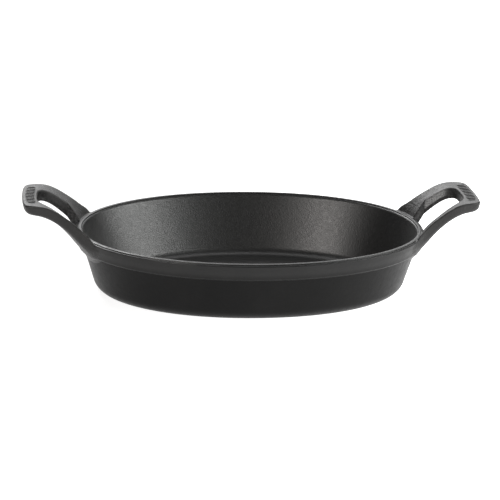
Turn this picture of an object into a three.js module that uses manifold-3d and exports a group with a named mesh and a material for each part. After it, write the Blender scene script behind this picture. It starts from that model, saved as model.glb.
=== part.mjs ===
// Oval cast-iron baking dish with two raised loop handles.
// Millimetres, +Z up. Origin: centre of the flat underside. +X along the long axis, through both handles.
// One casting on the real object, divided here where its pattern divides: bowl, rim collar, the two loops, and the
// fired enamel lining of the cooking side.
import * as THREE from "three";
import { mergeVertices } from "three/addons/utils/BufferGeometryUtils.js";
import Module from "manifold-3d";

// ---- driving dimensions -------------------------------------------------------------------------------------------
const RIM_HALF_LENGTH = 140; // outer rim, half of 280
const RIM_HALF_WIDTH = 100; // outer rim, half of 200
const OVAL_POWER = 2.066; // 2 is a plain ellipse; the dish is a touch fuller at the shoulders
const RIM_HEIGHT = 51; // crest of the lip above the table
const LIP_SEAT = 50; // height where the lip sits on the top of the wall
const COLLAR_FOOT = 36.9; // lower edge of the collar
const COLLAR_TOE = 0.5; // ledge at that edge
const WALL_LEAN = 0.295; // run per unit of rise of the outer wall, about 16.5 degrees
const WALL_INSET = 16.36; // where the outer wall would meet the table, measured inward from the rim
const CORNER_RADIUS = 12; // outside, wall to underside
const INNER_LEAN = 0.44; // the same, on the cooking side
const LIP_WIDTH = 4.7; // rim to cooking side, at the lip's seat
const FLOOR_HEIGHT = 3; // cooking floor above the table
const INNER_CORNER = 9; // inside, wall to floor
const ENAMEL = 0.5; // lining thickness
const STATIONS = 96; // vertices round the oval

const HANDLE_REACH = 182.8; // tip of each loop from the centre
const JOINT_GAP = 0.3; // parting clearance between a loop's root and the collar
const RIB_COUNT = 11; // plain grip ribs on each loop's end
const RIB_PITCH = 4.2;

// ---- the oval ------------------------------------------------------------------------------------------------------
// A ring of the oval, inset d from the outer rim, at height z.
function oval(d, z) {
  const ring = [];
  for (let i = 0; i < STATIONS; i++) {
    const t = (2 * Math.PI * i) / STATIONS;
    const c = Math.cos(t), s = Math.sin(t), p = 2 / OVAL_POWER;
    const x = (RIM_HALF_LENGTH - d) * Math.sign(c) * Math.abs(c) ** p;
    const y = (RIM_HALF_WIDTH - d) * Math.sign(s) * Math.abs(s) ** p;
    ring.push(new THREE.Vector3(x, y, z));
  }
  return ring;
}
// Where the rim's outline stands at a distance y from the long axis.
function rimX(y) {
  return RIM_HALF_LENGTH * (1 - (Math.abs(y) / RIM_HALF_WIDTH) ** OVAL_POWER) ** (1 / OVAL_POWER);
}

// A closed body from [inset, height] pairs that run up the outside. It closes on the axis at both ends, or on itself.
function body(profile, onAxis) {
  const v = [], f = [];
  for (const [d, z] of profile) for (const p of oval(d, z)) v.push(p.x, p.y, p.z);
  const n = STATIONS, m = profile.length;
  const band = (a, b) => {
    // The diagonal always runs from the lower ring, so two bodies that share a wall share its triangles.
    const low = profile[a][1] - profile[b][1] || profile[b][0] - profile[a][0];
    for (let i = 0; i < n; i++) {
      const j = (i + 1) % n;
      const a0 = a * n + i, a1 = a * n + j, b0 = b * n + i, b1 = b * n + j;
      if (low <= 0) f.push(a0, a1, b1, a0, b1, b0);
      else f.push(a0, a1, b0, a1, b1, b0);
    }
  };
  for (let k = 0; k + 1 < m; k++) band(k, k + 1);
  if (onAxis) {
    v.push(0, 0, profile[0][1], 0, 0, profile[m - 1][1]);
    for (let i = 0; i < n; i++) {
      const j = (i + 1) % n;
      f.push(m * n, j, i);
      f.push(m * n + 1, (m - 1) * n + i, (m - 1) * n + j);
    }
  } else band(m - 1, 0);
  return new THREE.BufferGeometry()
    .setAttribute("position", new THREE.Float32BufferAttribute(v, 3))
    .setIndex(f);
}

// ---- profiles, as [inset from the rim, height] ---------------------------------------------------------------------
const arc = (cd, cz, r, from, to, steps) =>
  Array.from({ length: steps + 1 }, (_, i) => {
    const a = from + ((to - from) * i) / steps;
    return [cd - r * Math.cos(a), cz - r * Math.sin(a)];
  });
// the outer wall is a plain cone from the underside corner to the lip
const cone = (z) => [WALL_INSET - z * WALL_LEAN, z];
const lean = Math.atan(WALL_LEAN);
const outerCornerInset = cone(CORNER_RADIUS)[0] + CORNER_RADIUS / Math.cos(lean);
const outerCorner = arc(outerCornerInset, CORNER_RADIUS, CORNER_RADIUS, Math.PI / 2, lean, 4);
// the cooking side, from the lip down to the floor
const inner = (z) => [LIP_WIDTH + (LIP_SEAT - z) * INNER_LEAN, z];
const innerLean = Math.atan(INNER_LEAN);
const innerCentre = FLOOR_HEIGHT + INNER_CORNER;
const innerCornerInset = inner(innerCentre)[0] + INNER_CORNER / Math.cos(innerLean);
const liningFace = [
  inner(LIP_SEAT),
  inner(30),
  ...arc(innerCornerInset, innerCentre, INNER_CORNER, innerLean, Math.PI / 2, 8),
];
// the iron under the lining
const skin = ENAMEL / Math.cos(innerLean);
const ironInside = [
  ...[inner(LIP_SEAT), inner(30)].map(([d, z]) => [d - skin, z]),
  ...arc(innerCornerInset, innerCentre, INNER_CORNER + ENAMEL, innerLean, Math.PI / 2, 8),
];

const bowlProfile = [...outerCorner, cone(COLLAR_FOOT), cone(LIP_SEAT), ...ironInside];
const liningProfile = [...ironInside].reverse().concat(liningFace);
// the collar: a band round the cone with a soft lower edge, a small step at its top, then the narrow rounded lip
const toe = cone(COLLAR_FOOT)[0];
const collarFace = [
  [toe - COLLAR_TOE, COLLAR_FOOT],
  [3.1, 37.5],
  [2.1, 38.3],
  [1.5, 39.8],
  [0.4, 45.5],
  [0, 49.2],
  [0.45, 49.85],
  [1.2, 50.1],
  [1.5, 50.65],
  [2.4, 50.95],
  [3.5, RIM_HEIGHT],
  [4.3, 50.75],
];
const collarProfile = [[toe, COLLAR_FOOT], ...collarFace, inner(LIP_SEAT), cone(LIP_SEAT)];

// ---- loop handle ---------------------------------------------------------------------------------------------------
const wasm = await Module();
wasm.setup();
function solid(geometry) {
  const g = geometry.index ? geometry.toNonIndexed() : geometry.clone();
  g.deleteAttribute("normal");
  g.deleteAttribute("uv");
  const merged = mergeVertices(g, 1e-3);
  return new wasm.Manifold(
    new wasm.Mesh({
      numProp: 3,
      vertProperties: new Float32Array(merged.attributes.position.array),
      triVerts: new Uint32Array(merged.index.array),
    }),
  );
}
function geometryOf(manifold) {
  const m = manifold.getMesh();
  const v = new Float32Array(m.numVert * 3);
  for (let i = 0; i < m.numVert; i++) v.set(m.vertProperties.subarray(i * m.numProp, i * m.numProp + 3), i * 3);
  return new THREE.BufferGeometry()
    .setAttribute("position", new THREE.BufferAttribute(v, 3))
    .setIndex(new THREE.BufferAttribute(new Uint32Array(m.triVerts), 1));
}
const through = (points, count) =>
  new THREE.CatmullRomCurve3(
    points.map(([a, b]) => new THREE.Vector3(a, b, 0)),
    false,
    "centripetal",
  )
    .getSpacedPoints(count)
    .map((p) => [p.x, p.y]);

// Side view of the loop's plate beside its outer edges, as [x, z]: it leaves the lip steeply, arches over, ends level.
const OUTER_ROOT = 131; // x of the rim beside the loop's outer edges
const NOSE = HANDLE_REACH - RIM_HALF_LENGTH + OUTER_ROOT; // the tip, in the same side view
const plateTop = through(
  [[112, 43.5], [120, 45.6], [126, 48.4], [128.6, 50.1], [129.6, 50.9], [131, 52.9], [134.9, 57.9], [139, 62.2], [146.2, 68.2], [154, 73.6], [161.5, 77], [168, 77.9], [NOSE - 2.4, 78.15]],
  26,
);
const plateNose = through([[NOSE - 2.4, 78.15], [NOSE - 0.9, 77.4], [NOSE, 75.6], [NOSE - 0.4, 73], [NOSE - 1.6, 71], [NOSE - 4, 69.75]], 7);
const plateUnder = through(
  [[NOSE - 4, 69.75], [167, 69.3], [164.6, 68.9], [161.5, 68], [157.6, 66.3], [153.7, 63.9], [149.9, 61], [146, 57.5], [142.2, 53.5], [138.4, 49.1], [134.6, 44.5], [130, 39], [126, 34.1], [122.2, 30], [112, 20.5]],
  24,
);
const plateSection = [...plateTop, ...plateNose.slice(1), ...plateUnder.slice(1)];
// The plate is that one section carried along a line that bows with the rim, so its middle stands further out. The tip
// bows less than the root.
const bowShare = (x) => 1 - 0.65 * THREE.MathUtils.smoothstep(x, 156, 172);
function plate() {
  const v = [], f = [], ys = [];
  for (let y = -52.5; y <= 52.5; y += 3.5) ys.push(y);
  const m = plateSection.length;
  for (const y of ys)
    for (const [x, z] of plateSection)
      v.push(x + RIM_HALF_LENGTH - OUTER_ROOT - (RIM_HALF_LENGTH - rimX(y)) * bowShare(x), y, z);
  for (let k = 0; k + 1 < ys.length; k++)
    for (let i = 0; i < m; i++) {
      const j = (i + 1) % m, a = k * m, b = a + m;
      f.push(a + i, a + j, b + j, a + i, b + j, b + i);
    }
  const cap = THREE.ShapeUtils.triangulateShape(plateSection.map(([x, z]) => new THREE.Vector2(x, z)), []);
  const last = (ys.length - 1) * m;
  for (const [a, b, c] of cap) {
    f.push(a, b, c);
    f.push(last + a, last + c, last + b);
  }
  const g = new THREE.BufferGeometry()
    .setAttribute("position", new THREE.Float32BufferAttribute(v, 3))
    .setIndex(f);
  const s = solid(g);
  if (s.volume() > 0) return s;
  for (let i = 0; i < f.length; i += 3) [f[i], f[i + 1]] = [f[i + 1], f[i]];
  return solid(g.setIndex(f));
}
// Plan outline of the loop and of its finger slot, half of each as [x, y], mirrored across the long axis.
const loopOutline = through(
  [[112, 51.6], [118, 50], [122, 48.2], [125.3, 45.9], [127.6, 43.9], [130, 41.9], [133, 39.8], [136, 38.3], [140, 37.2], [147, 36], [155, 34.9], [163, 33.8], [169, 32.9], [174, 32.1], [177.6, 31], [180, 28.9], [181.8, 25.5], [183.6, 19], [185.2, 9], [185.8, 0]],
  40,
);
const slotOutline = [
  ...through([[124, 16.4], [133, 16.4], [136, 17], [138.4, 18.4], [142.5, 20.8], [146.6, 23.2]], 10).slice(0, -1),
  ...through([[146.6, 23.2], [149, 22.6], [152, 21.9], [156, 21.3], [160, 20.6], [164, 19.4], [166.6, 17.8], [168.6, 15.4], [169.8, 12], [170.4, 7], [170.6, 0]], 16),
];
const mirrored = (half) => [...half, ...half.slice(0, -1).reverse().map(([x, y]) => [x, -y])];
function prism(points, z0, z1) {
  const g = new THREE.ExtrudeGeometry(new THREE.Shape(points.map(([x, y]) => new THREE.Vector2(x, y))), {
    depth: z1 - z0,
    bevelEnabled: false,
  });
  return solid(g.translate(0, 0, z0));
}
// Front view of the root, half of it as [y, z]: low on the wall in its middle, rising into the collar at its sides.
const rootFoot = [[0, 29.8], [16, 30.3], [24, 31.2], [32, 33], [38, 35.8], [42, 38.5], [46, 42.5], [50, 47], [60, 56]];
const rootOutline = [...[...rootFoot].reverse().map(([y, z]) => [-y, z]), ...rootFoot.slice(1), [60, 100], [-60, 100]];
function rootPrism() {
  const front = new THREE.Shape(rootOutline.map(([y, z]) => new THREE.Vector2(y, z)));
  const g = new THREE.ExtrudeGeometry(front, { depth: 120, bevelEnabled: false });
  // shape x to +Y, shape y to +Z, depth to +X
  const turn = new THREE.Matrix4().makeBasis(new THREE.Vector3(0, 1, 0), new THREE.Vector3(0, 0, 1), new THREE.Vector3(1, 0, 0));
  return solid(g.applyMatrix4(turn).translate(100, 0, 0));
}
function loop() {
  // The slot is open to the collar at its inner end.
  let s = plate()
    .intersect(prism(mirrored(loopOutline), 20, 100))
    .intersect(rootPrism())
    .subtract(prism(mirrored(slotOutline), 20, 100));
  // Plain raised ribs across the end of the loop, for grip.
  for (let i = 0; i < RIB_COUNT; i++) {
    const o = i - (RIB_COUNT - 1) / 2;
    const length = Math.abs(o) > 4.5 ? 5.5 : 7;
    s = s.add(solid(new THREE.BoxGeometry(length, 1.6, 3).translate(176.2 - 0.05 * o * o, o * RIB_PITCH, 77.3)));
  }
  // Clear of the wall, collar and lip, by the parting clearance.
  const clear = body(
    [
      [40, -1],
      ...[0, 10, 20, 30].map((z) => [cone(z)[0] - JOINT_GAP, z]),
      [toe - JOINT_GAP, COLLAR_FOOT - JOINT_GAP],
      ...collarFace.slice(0, 9).map(([d, z]) => [d - JOINT_GAP, z + (z > 49.5 ? JOINT_GAP : z < 37 ? -JOINT_GAP : 0)]),
      [6, 54],
      [20, 54],
    ],
    true,
  );
  s = s.subtract(solid(clear));
  const parts = s.decompose();
  return geometryOf(parts.reduce((a, b) => (a.volume() > b.volume() ? a : b)));
}

// ---- materials and assembly ----------------------------------------------------------------------------------------
const iron = new THREE.MeshStandardMaterial({ color: 0x2b2b2b, roughness: 0.5, metalness: 0.25 });
const grip = new THREE.MeshStandardMaterial({ color: 0x333232, roughness: 0.48, metalness: 0.25 });
const lining = new THREE.MeshStandardMaterial({ color: 0x262727, roughness: 0.42, metalness: 0.1 });

const dish = new THREE.Group();
function add(name, geometry, material, parent = dish) {
  const mesh = new THREE.Mesh(geometry, material);
  mesh.name = name;
  parent.add(mesh);
  return mesh;
}
add("dish_body", body(bowlProfile, true), iron);
add("rim_band", body(collarProfile, false), iron);
add("interior_enamel", body(liningProfile, true), lining);

const loopGeometry = loop();
add("right_handle", loopGeometry, grip);
const leftEnd = new THREE.Group();
leftEnd.rotation.z = Math.PI;
dish.add(leftEnd);
add("left_handle", loopGeometry, grip, leftEnd);

export default dish;
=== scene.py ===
"""Oval cast-iron baking dish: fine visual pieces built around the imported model, in the same frame.

Lengths are in millimetres while shapes are made, and in metres once they become meshes.
The profile is written as (inset from the outer rim, height). The rim is an oval of 280 x 200 mm.
"""

import math

import bpy
import numpy as np
from mathutils import Matrix, Vector


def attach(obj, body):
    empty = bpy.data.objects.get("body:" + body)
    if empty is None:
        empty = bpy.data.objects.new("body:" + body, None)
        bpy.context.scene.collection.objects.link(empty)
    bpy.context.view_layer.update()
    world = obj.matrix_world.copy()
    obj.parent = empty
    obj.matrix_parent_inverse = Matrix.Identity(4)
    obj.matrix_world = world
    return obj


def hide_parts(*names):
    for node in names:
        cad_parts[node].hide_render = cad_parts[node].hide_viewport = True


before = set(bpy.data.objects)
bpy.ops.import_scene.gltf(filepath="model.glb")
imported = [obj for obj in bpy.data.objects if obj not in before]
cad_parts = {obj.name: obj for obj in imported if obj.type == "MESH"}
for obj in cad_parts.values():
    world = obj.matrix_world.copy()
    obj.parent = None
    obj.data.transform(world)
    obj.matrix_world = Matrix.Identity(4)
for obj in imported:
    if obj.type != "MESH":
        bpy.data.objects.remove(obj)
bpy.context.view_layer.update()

# ---------------------------------------------------------------------------------------------------------------------
# dimensions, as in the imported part
# ---------------------------------------------------------------------------------------------------------------------
HALF_LENGTH, HALF_WIDTH, POWER = 140.0, 100.0, 2.066
RIM, SEAT, FOOT = 51.0, 50.0, 36.9
LEAN, WALL = 0.295, 16.36
CORNER, INNER_LEAN, LIP = 12.0, 0.44, 4.7
FLOOR, INNER_CORNER, ENAMEL = 3.0, 9.0, 0.5
STATIONS = 320


def cone(z):
    return WALL - z * LEAN


def inner(z):
    return LIP + (SEAT - z) * INNER_LEAN


# ---------------------------------------------------------------------------------------------------------------------
# small geometry helpers
# ---------------------------------------------------------------------------------------------------------------------
def arc(cd, cz, r, a0, a1, n):
    a = np.linspace(a0, a1, n)
    return [(cd - r * math.cos(t), cz - r * math.sin(t)) for t in a]


def rounded(points, radii, seg=7):
    """A polyline whose inner corners are rounded to the given radii."""
    out = [points[0]]
    for i in range(1, len(points) - 1):
        p0, p1, p2 = (np.array(points[k], float) for k in (i - 1, i, i + 1))
        r = radii[i]
        u, v = p0 - p1, p2 - p1
        lu, lv = np.linalg.norm(u), np.linalg.norm(v)
        u, v = u / lu, v / lv
        half = math.acos(max(-1, min(1, float(u @ v)))) / 2
        if r <= 0 or half > math.pi / 2 - 1e-3:
            out.append(tuple(p1))
            continue
        t = min(r / math.tan(half), 0.49 * lu, 0.49 * lv)
        r = t * math.tan(half)
        c = p1 + (u + v) / np.linalg.norm(u + v) * (r / math.sin(half))
        s, e = p1 + u * t - c, p1 + v * t - c
        a0, a1 = math.atan2(s[1], s[0]), math.atan2(e[1], e[0])
        d = (a1 - a0 + math.pi) % (2 * math.pi) - math.pi
        for k in range(seg + 1):
            a = a0 + d * k / seg
            out.append((c[0] + r * math.cos(a), c[1] + r * math.sin(a)))
    out.append(points[-1])
    return out


def dense(points, step):
    """The same polyline with no piece longer than step."""
    out = [points[0]]
    for a, b in zip(points[:-1], points[1:]):
        n = max(1, int(math.ceil(math.dist(a, b) / step)))
        for k in range(1, n + 1):
            out.append((a[0] + (b[0] - a[0]) * k / n, a[1] + (b[1] - a[1]) * k / n))
    return out


_t = np.arange(STATIONS) * 2 * math.pi / STATIONS
_c, _s = np.cos(_t), np.sin(_t)
_cx = np.sign(_c) * np.abs(_c) ** (2 / POWER)
_sy = np.sign(_s) * np.abs(_s) ** (2 / POWER)


def ring(d, z):
    return np.stack([(HALF_LENGTH - d) * _cx, (HALF_WIDTH - d) * _sy, np.full(STATIONS, z)], 1)


def swept(profile, on_axis):
    """Vertices and faces of a closed body from a profile that runs up the outside, then down the inside."""
    v = np.concatenate([ring(d, z) for d, z in profile])
    n, m = STATIONS, len(profile)
    i = np.arange(n)
    j = (i + 1) % n
    faces = []
    for k in range(m - 1 if on_axis else m):
        a, b = k * n, ((k + 1) % m) * n
        faces += np.stack([a + i, a + j, b + j, b + i], 1).tolist()
    if on_axis:
        v = np.concatenate([v, [[0, 0, profile[0][1]], [0, 0, profile[-1][1]]]])
        low, high = m * n, m * n + 1
        faces += np.stack([np.full(n, low), j, i], 1).tolist()
        top = (m - 1) * n
        faces += np.stack([np.full(n, high), top + i, top + j], 1).tolist()
    return v, faces


def make(name, verts, faces, material, normals=None):
    me = bpy.data.meshes.new(name)
    me.from_pydata((np.asarray(verts) * 1e-3).tolist(), [], faces)
    me.update()
    me.shade_smooth()
    if normals is not None:
        me.normals_split_custom_set_from_vertices(normals.tolist())
    ob = bpy.data.objects.new(name, me)
    bpy.context.scene.collection.objects.link(ob)
    me.materials.append(material)
    return ob


def spline(xs, ys):
    """Natural cubic spline through the points, as a function."""
    xs, ys = np.asarray(xs, float), np.asarray(ys, float)
    n = len(xs)
    h = np.diff(xs)
    a = np.zeros((n, n))
    b = np.zeros(n)
    a[0, 0] = a[-1, -1] = 1
    for i in range(1, n - 1):
        a[i, i - 1], a[i, i], a[i, i + 1] = h[i - 1], 2 * (h[i - 1] + h[i]), h[i]
        b[i] = 6 * ((ys[i + 1] - ys[i]) / h[i] - (ys[i] - ys[i - 1]) / h[i - 1])
    m = np.linalg.solve(a, b)

    def f(x, order=0):
        x = np.clip(np.asarray(x, float), xs[0], xs[-1])
        k = np.clip(np.searchsorted(xs, x) - 1, 0, n - 2)
        hk = h[k]
        p, q = (xs[k + 1] - x), (x - xs[k])
        if order == 0:
            return (m[k] * p**3 + m[k + 1] * q**3) / (6 * hk) + (ys[k] / hk - m[k] * hk / 6) * p + (ys[k + 1] / hk - m[k + 1] * hk / 6) * q
        return (-m[k] * p**2 + m[k + 1] * q**2) / (2 * hk) - ys[k] / hk + m[k] * hk / 6 + ys[k + 1] / hk - m[k + 1] * hk / 6

    return f


def through(points, count):
    """Points spaced along a smooth curve through the given ones."""
    p = np.array(points, float)
    t = np.concatenate([[0], np.cumsum(np.sqrt(np.linalg.norm(np.diff(p, axis=0), axis=1)))])
    fx, fy = spline(t, p[:, 0]), spline(t, p[:, 1])
    q = np.linspace(0, t[-1], count)
    return np.stack([fx(q), fy(q)], 1)


def mirrored(half):
    return np.concatenate([half, half[-2::-1] * [1, -1]])


def polygon_distance(px, py, poly):
    """Signed distance to a closed polygon, negative inside."""
    best = np.full(px.shape, 1e18)
    inside = np.zeros(px.shape, bool)
    a = poly
    b = np.roll(poly, -1, axis=0)
    for (x0, y0), (x1, y1) in zip(a, b):
        dx, dy = x1 - x0, y1 - y0
        l2 = dx * dx + dy * dy
        if l2 < 1e-12:
            continue
        t = np.clip(((px - x0) * dx + (py - y0) * dy) / l2, 0, 1)
        best = np.minimum(best, (px - x0 - t * dx) ** 2 + (py - y0 - t * dy) ** 2)
        if y0 != y1:
            cross = (y0 > py) != (y1 > py)
            inside ^= cross & (px < (x1 - x0) * (py - y0) / (y1 - y0) + x0)
    d = np.sqrt(best)
    return np.where(inside, -d, d)


def ease(t):
    t = np.clip(t, 0, 1)
    return t * t * (3 - 2 * t)


def round_cut(a, b, r):
    """Both of two regions, with the edge between them rounded to r."""
    u, v = np.maximum(a + r, 0), np.maximum(b + r, 0)
    return np.minimum(np.maximum(a, b), -r) + np.sqrt(u * u + v * v)


def round_join(a, b, r):
    """Either of two regions, with the corner between them filled to radius r."""
    u, v = np.maximum(r - a, 0), np.maximum(r - b, 0)
    return np.maximum(np.minimum(a, b), r) - np.sqrt(u * u + v * v)


def surface(field, origin, h):
    """Quads on the zero level of a field sampled on a grid."""
    s = field < 0
    nx, ny, nz = field.shape
    count = np.zeros((nx - 1, ny - 1, nz - 1), np.int8)
    for i in (0, 1):
        for j in (0, 1):
            for k in (0, 1):
                count += s[i : nx - 1 + i, j : ny - 1 + j, k : nz - 1 + k]
    cells = np.argwhere((count > 0) & (count < 8))
    index = np.full(count.shape, -1, np.int64)
    index[tuple(cells.T)] = np.arange(len(cells))
    total = np.zeros((len(cells), 3))
    hits = np.zeros(len(cells))
    corner = [(i, j, k) for i in (0, 1) for j in (0, 1) for k in (0, 1)]
    for a in corner:
        for b in corner:
            if sum(np.subtract(b, a)) == 1 and min(np.subtract(b, a)) == 0:
                fa = field[cells[:, 0] + a[0], cells[:, 1] + a[1], cells[:, 2] + a[2]]
                fb = field[cells[:, 0] + b[0], cells[:, 1] + b[1], cells[:, 2] + b[2]]
                m = (fa < 0) != (fb < 0)
                t = np.where(m, fa / np.where(m, fa - fb, 1), 0)[:, None]
                p = np.array(a) + t * np.subtract(b, a)
                total += np.where(m[:, None], p, 0)
                hits += m
    verts = cells + total / hits[:, None]
    quads = []
    for axis in range(3):
        o1, o2 = (axis + 1) % 3, (axis + 2) % 3
        lo = [slice(None)] * 3
        hi = [slice(None)] * 3
        lo[axis], hi[axis] = slice(0, -1), slice(1, None)
        change = s[tuple(lo)] != s[tuple(hi)]
        e = np.argwhere(change)
        ok = np.ones(len(e), bool)
        for o in (o1, o2):
            ok &= (e[:, o] >= 1) & (e[:, o] < field.shape[o] - 1)
        e = e[ok]
        first = s[tuple(lo)][tuple(e.T)]
        step1, step2 = np.zeros(3, int), np.zeros(3, int)
        step1[o1], step2[o2] = 1, 1
        c = [e - step1 - step2, e - step2, e, e - step1]
        q = np.stack([index[tuple(x.T)] for x in c], 1)
        quads.append(np.where(first[:, None], q, q[:, ::-1]))
    return origin + verts * h, np.concatenate(quads)


def sample(field, origin, h, p):
    """Field values at points, by linear interpolation."""
    g = (p - origin) / h
    i = np.clip(np.floor(g).astype(int), 0, np.array(field.shape) - 2)
    f = g - i
    out = 0
    for a in (0, 1):
        for b in (0, 1):
            for c in (0, 1):
                w = (f[:, 0] if a else 1 - f[:, 0]) * (f[:, 1] if b else 1 - f[:, 1]) * (f[:, 2] if c else 1 - f[:, 2])
                out = out + w * field[i[:, 0] + a, i[:, 1] + b, i[:, 2] + c]
    return out


def slope(field, origin, h, p):
    g = np.stack([(sample(field, origin, h, p + h * e) - sample(field, origin, h, p - h * e)) / (2 * h) for e in np.eye(3)], 1)
    return g


# ---------------------------------------------------------------------------------------------------------------------
# materials
# ---------------------------------------------------------------------------------------------------------------------
class Nodes:
    def __init__(self, name):
        self.mat = bpy.data.materials.new(name)
        self.mat.use_nodes = True
        self.tree = self.mat.node_tree
        self.shader = self.tree.nodes["Principled BSDF"]
        self.place = self.tree.nodes.new("ShaderNodeTexCoord").outputs["Object"]

    def link(self, a, b):
        self.tree.links.new(a, b)

    def noise(self, scale, detail=3.0, rough=0.5, distortion=0.0):
        n = self.tree.nodes.new("ShaderNodeTexNoise")
        n.inputs["Scale"].default_value = scale
        n.inputs["Detail"].default_value = detail
        n.inputs["Roughness"].default_value = rough
        n.inputs["Distortion"].default_value = distortion
        self.link(self.place, n.inputs["Vector"])
        return n.outputs["Fac"]

    def cells(self, scale, smooth=0.6):
        n = self.tree.nodes.new("ShaderNodeTexVoronoi")
        n.feature = "SMOOTH_F1"
        n.inputs["Scale"].default_value = scale
        n.inputs["Smoothness"].default_value = smooth
        self.link(self.place, n.inputs["Vector"])
        return n.outputs["Distance"]

    def attribute(self, name):
        n = self.tree.nodes.new("ShaderNodeAttribute")
        n.attribute_name = name
        return n.outputs["Fac"]

    def mix(self, a, b, fac):
        n = self.tree.nodes.new("ShaderNodeMix")
        n.data_type = "RGBA"
        self.link(fac, n.inputs[0])
        self.link(a, n.inputs[6])
        self.link(b, n.inputs[7])
        return n.outputs[2]

    def ramp(self, fac, stops):
        n = self.tree.nodes.new("ShaderNodeValToRGB")
        e = n.color_ramp.elements
        while len(e) < len(stops):
            e.new(0.5)
        for k, (p, c) in zip(e, stops):
            k.position, k.color = p, (*c, 1)
        self.link(fac, n.inputs["Fac"])
        return n.outputs["Color"]

    def span(self, fac, a, b, lo=0.3, hi=0.7):
        n = self.tree.nodes.new("ShaderNodeMapRange")
        n.inputs["From Min"].default_value, n.inputs["From Max"].default_value = lo, hi
        n.inputs["To Min"].default_value, n.inputs["To Max"].default_value = a, b
        self.link(fac, n.inputs["Value"])
        return n.outputs["Result"]

    def math(self, op, a, b):
        n = self.tree.nodes.new("ShaderNodeMath")
        n.operation = op
        for k, x in enumerate((a, b)):
            if isinstance(x, (int, float)):
                n.inputs[k].default_value = x
            else:
                self.link(x, n.inputs[k])
        return n.outputs[0]

    def bump(self, height, distance, strength=1.0, under=None):
        n = self.tree.nodes.new("ShaderNodeBump")
        n.inputs["Strength"].default_value = strength
        n.inputs["Distance"].default_value = distance
        self.link(height, n.inputs["Height"])
        if under is not None:
            self.link(under, n.inputs["Normal"])
        return n.outputs["Normal"]

    def set(self, **sockets):
        for k, x in sockets.items():
            s = self.shader.inputs[k.replace("_", " ")]
            if isinstance(x, (int, float, tuple)):
                s.default_value = x
            else:
                self.link(x, s)


def casting(name, dark, tone, index, foot=None):
    """Satin black enamel over sand-cast iron: tight grain, soft unevenness, slightly warm thin spots."""
    n = Nodes(name)
    broad, mid, fine = n.noise(38, 2), n.noise(230, 3), n.noise(1250, 2, 0.6)
    low, high = dark, tone
    n.set(Base_Color=n.ramp(broad, [(0.3, (low, low * 0.985, low * 0.97)), (0.55, ((low + high) / 2, (low + high) / 2 * 0.98, (low + high) / 2 * 0.96)), (0.75, (high, high * 0.965, high * 0.93))]))
    n.set(Roughness=n.span(n.math("ADD", n.math("MULTIPLY", mid, 0.6), n.math("MULTIPLY", fine, 0.4)), 0.34, 0.46))
    # on the collar the reflection weakens towards its foot: painted shade that softens the lower edge
    if foot:
        axis = n.tree.nodes.new("ShaderNodeSeparateXYZ")
        n.link(n.place, axis.inputs[0])
        n.set(IOR=n.span(axis.outputs["Z"], foot, index, 0.0366, 0.0425))
    else:
        n.set(IOR=index)
    soft = n.bump(mid, 0.00035, 0.35)
    n.set(Normal=n.bump(fine, 0.00012, 0.55, soft))
    return n.mat


def handle_casting():
    """The same coat over the coarser sand texture of the loops; on the slot's upper walls a lighter dusty tone that is
    partly painted light, and painted shade on its lower walls, in its root corner and between the grip ribs.
    """
    n = Nodes("black_enamelled_loop")
    broad, mid, fine = n.noise(45, 2), n.noise(420, 3), n.noise(900, 2, 0.65)
    coat = n.ramp(broad, [(0.3, (0.0075, 0.0073, 0.007)), (0.55, (0.0105, 0.0102, 0.0098)), (0.75, (0.0145, 0.0139, 0.0132))])
    light, dark = n.attribute("slot_dust_and_light_mask"), n.attribute("slot_painted_shade")
    # a lighter dusty speckle that is partly painted light on the slot's upper walls, and painted shade for its hollows
    dust_and_painted_light = n.ramp(n.noise(1000, 2, 0.7), [(0.36, (0.07, 0.0697, 0.069)), (0.64, (0.235, 0.234, 0.232))])
    corner_painted_shade = n.ramp(n.noise(430, 3, 0.75), [(0.43, (0.0015, 0.0015, 0.0015)), (0.64, (0.034, 0.0335, 0.0325))])
    n.set(Base_Color=n.mix(n.mix(coat, dust_and_painted_light, light), corner_painted_shade, dark))
    worn = n.math("ADD", n.math("MULTIPLY", light, 0.16), n.math("MULTIPLY", dark, 0.22))
    n.set(Roughness=n.math("ADD", n.span(n.math("ADD", n.math("MULTIPLY", mid, 0.6), n.math("MULTIPLY", fine, 0.4)), 0.36, 0.5), worn))
    n.set(IOR=1.4)
    soft = n.bump(mid, 0.0005, 0.4)
    n.set(Normal=n.bump(fine, 0.0004, 0.7, soft))
    return n.mat


def lining():
    """Pebbled black enamel of the cooking side: rounded grains about a millimetre across."""
    n = Nodes("pebbled_enamel")
    broad, grain, fine = n.noise(30, 2), n.cells(980, 0.85), n.noise(1700, 2, 0.55)
    wave = n.noise(300, 2)
    n.set(Base_Color=n.ramp(broad, [(0.3, (0.0016, 0.0017, 0.0016)), (0.55, (0.0023, 0.0023, 0.0022)), (0.75, (0.0032, 0.0031, 0.0029))]))
    n.set(Roughness=n.span(n.math("ADD", n.math("MULTIPLY", wave, 0.5), n.math("MULTIPLY", fine, 0.5)), 0.385, 0.475))
    n.set(IOR=1.6)
    pebble = n.math("ADD", n.math("MULTIPLY", grain, -0.7), n.math("MULTIPLY", fine, 0.5))
    soft = n.bump(wave, 0.00022, 0.25)
    n.set(Normal=n.bump(pebble, 0.0002, 0.54, soft))
    return n.mat


# one enamel twice: the collar's copy is painted lighter and more reflective, standing in for light on its upright
# face, and the wall's darker, dimmer copy is painted shade for the shaded floor it reflects
iron = casting("black_enamelled_wall_painted_darker", 0.002, 0.0042, 1.225)
collar_iron_lit_copy = casting("black_enamelled_collar_painted_lighter", 0.005, 0.0095, 1.35, 1.21)
loop_iron = handle_casting()
enamel = lining()

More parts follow.
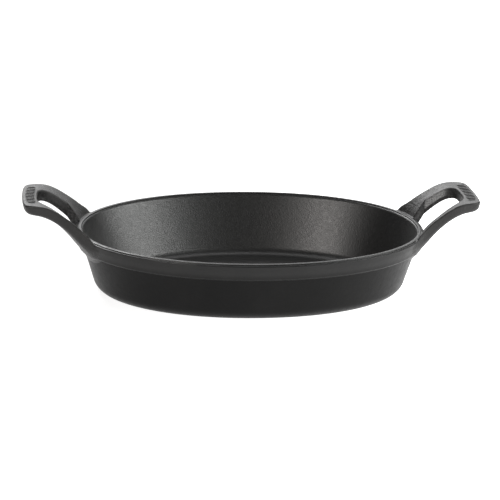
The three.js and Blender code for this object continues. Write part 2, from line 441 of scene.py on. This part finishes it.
# ---------------------------------------------------------------------------------------------------------------------
# bowl, collar and lining
# ---------------------------------------------------------------------------------------------------------------------
lean, inner_lean = math.atan(LEAN), math.atan(INNER_LEAN)
outer_corner_inset = cone(CORNER) + CORNER / math.cos(lean)
inner_centre = FLOOR + INNER_CORNER
inner_corner_inset = inner(inner_centre) + INNER_CORNER / math.cos(inner_lean)
skin = ENAMEL / math.cos(inner_lean)

underside = [(60, 0), (40, 0)] + arc(outer_corner_inset, CORNER, CORNER, math.pi / 2, lean, 16)
iron_inside = [(inner(SEAT) - skin, SEAT)] + arc(inner_corner_inset, inner_centre, INNER_CORNER + ENAMEL, inner_lean, math.pi / 2, 20)
bowl_profile = underside + dense([underside[-1], (cone(SEAT), SEAT)], 3)[1:] + dense(iron_inside[:2], 4) + iron_inside[2:] + [(50, FLOOR - ENAMEL)]

lining_face = dense([(inner(SEAT), SEAT), (inner(12), 12)], 2.0) + arc(inner_corner_inset, inner_centre, INNER_CORNER, inner_lean, math.pi / 2, 30)
lining_face += [(inner_corner_inset + k, FLOOR) for k in (2, 6, 12, 20, 30, 42, 56)]
lining_back = [(56 + inner_corner_inset, FLOOR - ENAMEL)] + iron_inside[::-1]
lining_profile = lining_back + lining_face

# the collar: a soft lower edge over the wall, a nearly upright face, a small step, then the narrow rounded lip
START = 36.2
collar_line = rounded(
    [
        (cone(START) - 0.02, START),
        (cone(FOOT) - 0.02, FOOT),
        (1.9, 38.0),
        (0.4, 45.5),
        (0.0, 49.5),
        (1.25, 50.05),
        (1.5, 50.7),
        (2.7, 51.05),
        (4.25, 50.9),
        (inner(SEAT), SEAT),
    ],
    [0, 0.6, 2.4, 12, 0.7, 0.25, 0.45, 1.2, 0.8, 0],
    9,
)
collar_profile = [(cone(START) + 0.5, START)] + dense(collar_line, 1.2) + [(cone(SEAT) + 0.5, SEAT)]

bowl = make("dish_body_cast", *swept(bowl_profile, True), iron)
collar = make("rim_band_cast", *swept(collar_profile, False), collar_iron_lit_copy)
lining_piece = make("interior_lining", *swept(lining_profile, True), enamel)

# ---------------------------------------------------------------------------------------------------------------------
# loop handles: a field on a grid, so that edges are rounded and the root flows into the wall
# ---------------------------------------------------------------------------------------------------------------------
ROOT = 131.0
top_points = [(112, 43.5), (120, 45.6), (126, 48.4), (128.6, 50.1), (129.6, 50.9), (131, 52.9), (134.9, 57.9), (139, 62.2), (146.2, 68.2), (154, 73.6), (161.5, 77), (168, 77.9), (172, 78.1), (176, 78.2), (182, 78.2), (192, 78.2)]
under_points = [(112, 20.5), (118, 26.3), (122.2, 30), (126, 34.1), (130, 39), (134.6, 44.5), (138.4, 49.1), (142.2, 53.5), (146, 57.5), (149.9, 61), (153.7, 63.9), (157.6, 66.3), (161.5, 68), (164.6, 68.9), (168, 69.4), (174, 69.8), (182, 70), (192, 70)]
outline = [(112, 51.6), (118, 50), (122, 48.2), (125.3, 45.9), (127.6, 43.9), (130, 41.9), (133, 39.8), (136, 38.3), (140, 37.2), (147, 36), (155, 34.9), (163, 33.8), (169, 32.9), (174, 32.1), (177.6, 31), (180, 28.9), (181.4, 25.5), (182.2, 20), (182.7, 11), (182.9, 0)]
slot_side = [(146.6, 23.2), (149, 22.6), (152, 21.9), (156, 21.3), (160, 20.6), (164, 19.4), (166.6, 17.8), (168.6, 15.4), (169.8, 12), (170.4, 7), (170.6, 0)]
slot_root = [(124, 16.4), (133, 16.4), (136, 17), (138.4, 18.4), (142.5, 20.8), (146.6, 23.2)]
root_foot = [(0, 29.8), (16, 30.3), (24, 31.2), (32, 33), (38, 35.8), (42, 38.5), (46, 42.5), (50, 47), (60, 56)]


def loop_field(h):
    x = np.arange(113.0, 186.5, h)
    y = np.arange(-58.0, 58.0 + h, h)
    z = np.arange(24.0, 80.5, h)
    gx, gy = np.meshgrid(x, y, indexing="ij")
    # inset of each plan point from the rim
    lo, hi = np.full(gx.shape, -70.0), np.full(gx.shape, 60.0)
    for _ in range(40):
        q = (lo + hi) / 2
        f = (np.abs(gx) / (HALF_LENGTH - q)) ** POWER + (np.abs(gy) / (HALF_WIDTH - q)) ** POWER - 1
        lo, hi = np.where(f > 0, lo, q), np.where(f > 0, q, hi)
    q = (lo + hi) / 2
    # the filled dish, as a distance over inset and height
    body = np.array(underside[2:] + [(cone(28.5), 28.5)] + [c for c in collar_line[1:] if c[1] < 50.2 or c[0] < 2.6] + [(60, 51.0), (60, 0)])
    qs = np.arange(-60.0, 62.0, 0.25)
    tq, tz = np.meshgrid(qs, z, indexing="ij")
    table = polygon_distance(tq, tz, body)
    g = (q - qs[0]) / 0.25
    k = np.clip(np.floor(g).astype(int), 0, len(qs) - 2)
    w = (g - k)[..., None]
    dish = table[k] * (1 - w) + table[k + 1] * w
    # the plate is one profile carried along a line that bows with the rim
    rim_x = HALF_LENGTH * (1 - (np.minimum(np.abs(gy), 60) / HALF_WIDTH) ** POWER) ** (1 / POWER)
    xp = gx - (rim_x - ROOT)
    bow = np.gradient(rim_x, h, axis=1)
    over, under = spline(*zip(*top_points)), spline(*zip(*under_points))
    # beside the loop the top falls back to the collar's edge
    xt = xp - 4.0 * ease((np.abs(gy) - 39) / 9)
    zt, zu = over(xt), under(xp)
    st = np.sqrt(1 + over(xt, 1) ** 2 * (1 + bow**2))
    su = np.sqrt(1 + under(xp, 1) ** 2 * (1 + bow**2))
    above, below = (z - zt[..., None]) / st[..., None], (zu[..., None] - z) / su[..., None]
    plate = np.maximum(above, below)
    # the root stands low on the wall in its middle and rises into the collar at its sides
    foot = spline(*zip(*root_foot))
    plate = round_cut(plate, ((foot(np.abs(gy))[..., None] - z) / np.sqrt(1 + foot(np.abs(gy), 1) ** 2)[..., None]), 1.5)
    level = np.clip((z - zu[..., None]) / np.maximum(zt - zu, 1)[..., None], 0, 1)
    edge = polygon_distance(gx, gy, mirrored(through(outline, 110)))
    nose = ease((gx - 170) / 8)[..., None]
    r = (2.2 - 0.9 * ease((level - 0.3) / 0.4)) + nose * (1.8 - 0.9 * ease((level - 0.3) / 0.4))
    # the end draws in towards its underside
    loop = round_cut(plate, edge[..., None] + 1.7 * (1 - level) * ease((gx - 158) / 14)[..., None], r)
    # the slot: its walls draw in to a parting line below half height
    half = np.concatenate([through(slot_root, 30)[:-1], through(slot_side, 70)])
    hole = np.concatenate([half, half[-2::-1] * [1, -1]])
    cut = -polygon_distance(gx, gy, hole)
    part = 0.34
    draft = np.where(level > part, (level - part) * 0.9, (part - level) * 2.2)
    slot = cut[..., None] + 0.75 - draft
    loop = round_cut(loop, slot, 0.8 + 0.3 * ease((level - 0.3) / 0.4))
    # soft corners to the wall and collar, a tight one beside the lip
    r = np.broadcast_to((2.4 - 1.9 * ease((z - 45.0) / 4))[None, None, :], loop.shape)
    both = round_join(loop, dish, r)
    added = dish - both
    piece = np.maximum(np.maximum(both, -1.4 - dish), (0.03 - added) * 6)
    return piece, both, slot, np.array([x[0], y[0], z[0]])


def largest(verts, quads, normals):
    """Only the biggest part whose faces meet two to an edge."""
    ends = np.sort(np.stack([quads, np.roll(quads, -1, 1)], 2), 2).reshape(-1, 2).astype(np.int64)
    key = ends[:, 0] * len(verts) + ends[:, 1]
    order = np.argsort(key, kind="stable")
    start = np.flatnonzero(np.r_[True, np.diff(key[order]) != 0])
    pair = start[np.diff(np.r_[start, len(key)]) == 2]
    one, two = order[pair] // 4, order[pair + 1] // 4
    label = np.arange(len(quads))
    while True:
        low = np.minimum(label[one], label[two])
        new = label.copy()
        np.minimum.at(new, one, low)
        np.minimum.at(new, two, low)
        new = new[new]
        if (new == label).all():
            break
        label = new
    quads = quads[label == np.bincount(label).argmax()]
    keep = np.zeros(len(verts), bool)
    keep[quads] = True
    return verts[keep], (np.cumsum(keep) - 1)[quads], normals[keep]


step = 0.55
piece, both, slot, origin = loop_field(step)
verts, quads = surface(piece, origin, step)
for _ in range(3):
    f = sample(piece, origin, step, verts)
    g = slope(piece, origin, step, verts)
    move = np.clip(f, -0.3, 0.3)[:, None] * g / np.maximum((g * g).sum(1), 0.3)[:, None]
    verts = verts - 0.8 * move
normals = slope(both, origin, step, verts)
normals /= np.maximum(np.linalg.norm(normals, axis=1), 1e-9)[:, None]
verts, quads, normals = largest(verts, quads, normals)

handles, ribs = {}, {}
over, under = spline(*zip(*top_points)), spline(*zip(*under_points))

# where the slot's walls are: the upper part gets a lighter dusty tone that is partly painted light, the lower part and
# root corner get painted shade
wall = ease(1 - np.abs(sample(slot, origin, step, verts)) / 1.1)
across = verts[:, 0] - (HALF_LENGTH * (1 - (np.minimum(np.abs(verts[:, 1]), 60) / HALF_WIDTH) ** POWER) ** (1 / POWER) - ROOT)
level = (verts[:, 2] - under(across)) / np.maximum(over(across) - under(across), 1)
upper = ease((level - 0.3) / 0.1)
main = ease((verts[:, 0] - 145.8) / 1.6)
end = ease((verts[:, 0] - 160.5) / 5)
slot_dust_and_light_mask = wall * upper * main * (1 - end)
slot_painted_shade = wall * np.maximum((1 - upper) * 0.8, np.maximum(1 - main, 0.55 * end))
# painted shade on the ground between the grip ribs
o = verts[:, 1] / 4.2
rib_gap_shade = ease(1.5 - np.abs(verts[:, 0] - 176.2 + 0.05 * o * o) / 2.9) * ease((23.4 - np.abs(verts[:, 1])) / 1.2) * ease((normals[:, 2] - 0.85) / 0.1)
slot_painted_shade = np.maximum(slot_painted_shade, 0.7 * rib_gap_shade)


def rib(cx, cy, length, width, height, turn):
    """One low rounded rib, its foot sunk into the loop's top."""
    nu, nv = 28, 14
    v = []
    for i in range(nv + 1):
        b = -math.pi / 2 + math.pi * i / nv
        for j in range(nu):
            a = 2 * math.pi * j / nu
            pw = lambda s, e: math.copysign(abs(s) ** e, s)
            v.append((length / 2 * pw(math.cos(b), 0.5) * pw(math.cos(a), 0.55), width / 2 * pw(math.cos(b), 0.5) * pw(math.sin(a), 0.55), height * pw(math.sin(b), 0.6)))
    v = np.array(v)
    v[:, 2] += over(v[:, 0] + cx - (HALF_LENGTH * (1 - (abs(cy) / HALF_WIDTH) ** POWER) ** (1 / POWER) - ROOT))
    v[:, 0] += cx
    v[:, 1] += cy
    v = v * [turn, turn, 1]
    f = []
    for i in range(nv):
        for j in range(nu):
            k = (j + 1) % nu
            f.append((i * nu + j, i * nu + k, (i + 1) * nu + k, (i + 1) * nu + j))
    # the poles close to single points
    return v, f


def rib_set(name, turn):
    vs, fs, base = [], [], 0
    for i in range(11):
        o = i - 5
        v, f = rib(176.2 - 0.05 * o * o, o * 4.2, 5.6 if abs(o) == 5 else 7.2, 2.1, 0.62, turn)
        vs.append(v)
        fs += [tuple(base + k for k in q) for q in f]
        base += len(v)
    ob = make(name, np.concatenate(vs), fs, loop_iron)
    import bmesh

    bm = bmesh.new()
    bm.from_mesh(ob.data)
    bmesh.ops.remove_doubles(bm, verts=bm.verts, dist=1e-7)
    bmesh.ops.dissolve_degenerate(bm, dist=1e-8, edges=bm.edges)
    bm.to_mesh(ob.data)
    bm.free()
    ob.data.shade_smooth()
    return ob


for side, turn in (("right", 1), ("left", -1)):
    spin = np.array([turn, turn, 1])
    handles[side] = make(f"{side}_handle_cast", verts * spin, quads.tolist(), loop_iron, normals * spin)
    # the slot walls' lighter tone, partly painted light, is strong on the right loop and nearly gone on the left
    for label, value in (("slot_dust_and_light_mask", slot_dust_and_light_mask * (1.0 if turn > 0 else 0.08)), ("slot_painted_shade", slot_painted_shade)):
        handles[side].data.attributes.new(label, "FLOAT", "POINT").data.foreach_set("value", value.astype(np.float32))
    ribs[side] = rib_set(f"{side}_grip_ribs", turn)

for ob, node, slot_name in (
    (bowl, "dish_body", "body_iron"),
    (collar, "rim_band", "band_iron"),
    (lining_piece, "interior_enamel", "enamel"),
    (handles["left"], "left_handle", "handle_iron"),
    (handles["right"], "right_handle", "handle_iron"),
):
    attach(ob, "root")
    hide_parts(node)
for ob in ribs.values():
    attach(ob, "root")

# ---------------------------------------------------------------------------------------------------------------------
# floor, light, camera
# ---------------------------------------------------------------------------------------------------------------------
scene = bpy.context.scene
scene.view_settings.view_transform = "Standard"
scene.view_settings.look = "None"

me = bpy.data.meshes.new("floor")
me.from_pydata([(-9, -9, -0.0003), (9, -9, -0.0003), (9, 9, -0.0003), (-9, 9, -0.0003)], [], [(0, 1, 2, 3)])
floor = bpy.data.objects.new("floor", me)
scene.collection.objects.link(floor)
pale = bpy.data.materials.new("pale_floor")
pale.use_nodes = True
b = pale.node_tree.nodes["Principled BSDF"]
b.inputs["Base Color"].default_value = (0.46, 0.46, 0.46, 1)
b.inputs["Roughness"].default_value = 0.9
b.inputs["Specular IOR Level"].default_value = 0.0
b.inputs["Emission Color"].default_value = (1, 1, 1, 1)
# the floor glows, stronger towards the right: painted light, not a lamp
where = pale.node_tree.nodes.new("ShaderNodeTexCoord")
axis = pale.node_tree.nodes.new("ShaderNodeSeparateXYZ")
floor_painted_glow = pale.node_tree.nodes.new("ShaderNodeMapRange")
floor_painted_glow.interpolation_type = "SMOOTHSTEP"
for key, value in (("From Min", -0.14), ("From Max", 0.16), ("To Min", 0.62), ("To Max", 1.4)):
    floor_painted_glow.inputs[key].default_value = value
pale.node_tree.links.new(where.outputs["Object"], axis.inputs[0])
pale.node_tree.links.new(axis.outputs["X"], floor_painted_glow.inputs["Value"])
# and more painted light where the dish keeps the lamps off it, filling its shadow
reach = pale.node_tree.nodes.new("ShaderNodeVectorMath")
reach.operation = "DISTANCE"
reach.inputs[1].default_value = (-0.11, -0.1, 0)
shadow_fill_glow = pale.node_tree.nodes.new("ShaderNodeMapRange")
shadow_fill_glow.interpolation_type = "SMOOTHSTEP"
for key, value in (("From Min", 0.04), ("From Max", 0.2), ("To Min", 0.19), ("To Max", 0.0)):
    shadow_fill_glow.inputs[key].default_value = value
both = pale.node_tree.nodes.new("ShaderNodeMath")
both.operation = "ADD"
pale.node_tree.links.new(where.outputs["Object"], reach.inputs[0])
pale.node_tree.links.new(reach.outputs["Value"], shadow_fill_glow.inputs["Value"])
pale.node_tree.links.new(floor_painted_glow.outputs["Result"], both.inputs[0])
pale.node_tree.links.new(shadow_fill_glow.outputs["Result"], both.inputs[1])
pale.node_tree.links.new(both.outputs[0], b.inputs["Emission Strength"])
me.materials.append(pale)

world = bpy.data.worlds.new("studio")
scene.world = world
world.use_nodes = True
world.node_tree.nodes["Background"].inputs["Color"].default_value = (1, 1, 1, 1)
world.node_tree.nodes["Background"].inputs["Strength"].default_value = 0.05


def softbox(name, place, aim, width, height, radiance, tint=(1, 1, 1)):
    data = bpy.data.lights.new(name, "AREA")
    data.shape = "RECTANGLE"
    data.size, data.size_y = width, height
    data.energy = radiance * math.pi * width * height
    data.color = tint
    ob = bpy.data.objects.new(name, data)
    scene.collection.objects.link(ob)
    ob.location = place
    ob.rotation_euler = (Vector(aim) - Vector(place)).to_track_quat("-Z", "Y").to_euler()
    return ob


softbox("back_panel", (0.1, 1.9, 1.15), (0, 0, 0.1), 2.6, 1.5, 3.1)
softbox("left_back", (-0.75, 1.9, 1.68), (0.13, 0, 0.06), 0.9, 0.7, 15.0)
softbox("overhead", (0, 0.85, 1.65), (0, 0, 0), 1.8, 0.7, 3.0)
softbox("right_box", (1.43, -0.47, 0.85), (0, 0, 0.04), 1.45, 0.6, 10.6, (0.99, 1, 0.985))
softbox("left_box", (-0.98, -1.12, 0.78), (0, 0, 0.04), 0.34, 0.6, 23.0, (1, 0.965, 0.935))

# the camera, from the outlines of the rim, base and handles
yaw, rise, roll = (math.radians(a) for a in (-6.95, 17.53, 1.63))
focal, away = 1861.8, 1.5
back = np.array([math.sin(yaw) * math.cos(rise), -math.cos(yaw) * math.cos(rise), math.sin(rise)])
right = np.array([math.cos(yaw), math.sin(yaw), 0.0])
up = np.cross(back, right)
right, up = math.cos(roll) * right + math.sin(roll) * up, -math.sin(roll) * right + math.cos(roll) * up
ahead = -back + (-0.57 / focal) * right - (17.17 / focal) * up
ahead /= np.linalg.norm(ahead)
side = right - (right @ ahead) * ahead
side /= np.linalg.norm(side)
head = np.cross(side, ahead)
eye = np.array([0, 0, 0.045]) + away * back
data = bpy.data.cameras.new("camera")
data.sensor_width, data.sensor_fit = 36, "HORIZONTAL"
data.lens = focal / 500 * 36
camera = bpy.data.objects.new("camera", data)
scene.collection.objects.link(camera)
camera.matrix_world = Matrix(
    [
        [side[0], head[0], -ahead[0], eye[0]],
        [side[1], head[1], -ahead[1], eye[1]],
        [side[2], head[2], -ahead[2], eye[2]],
        [0, 0, 0, 1],
    ]
)
scene.camera = camera
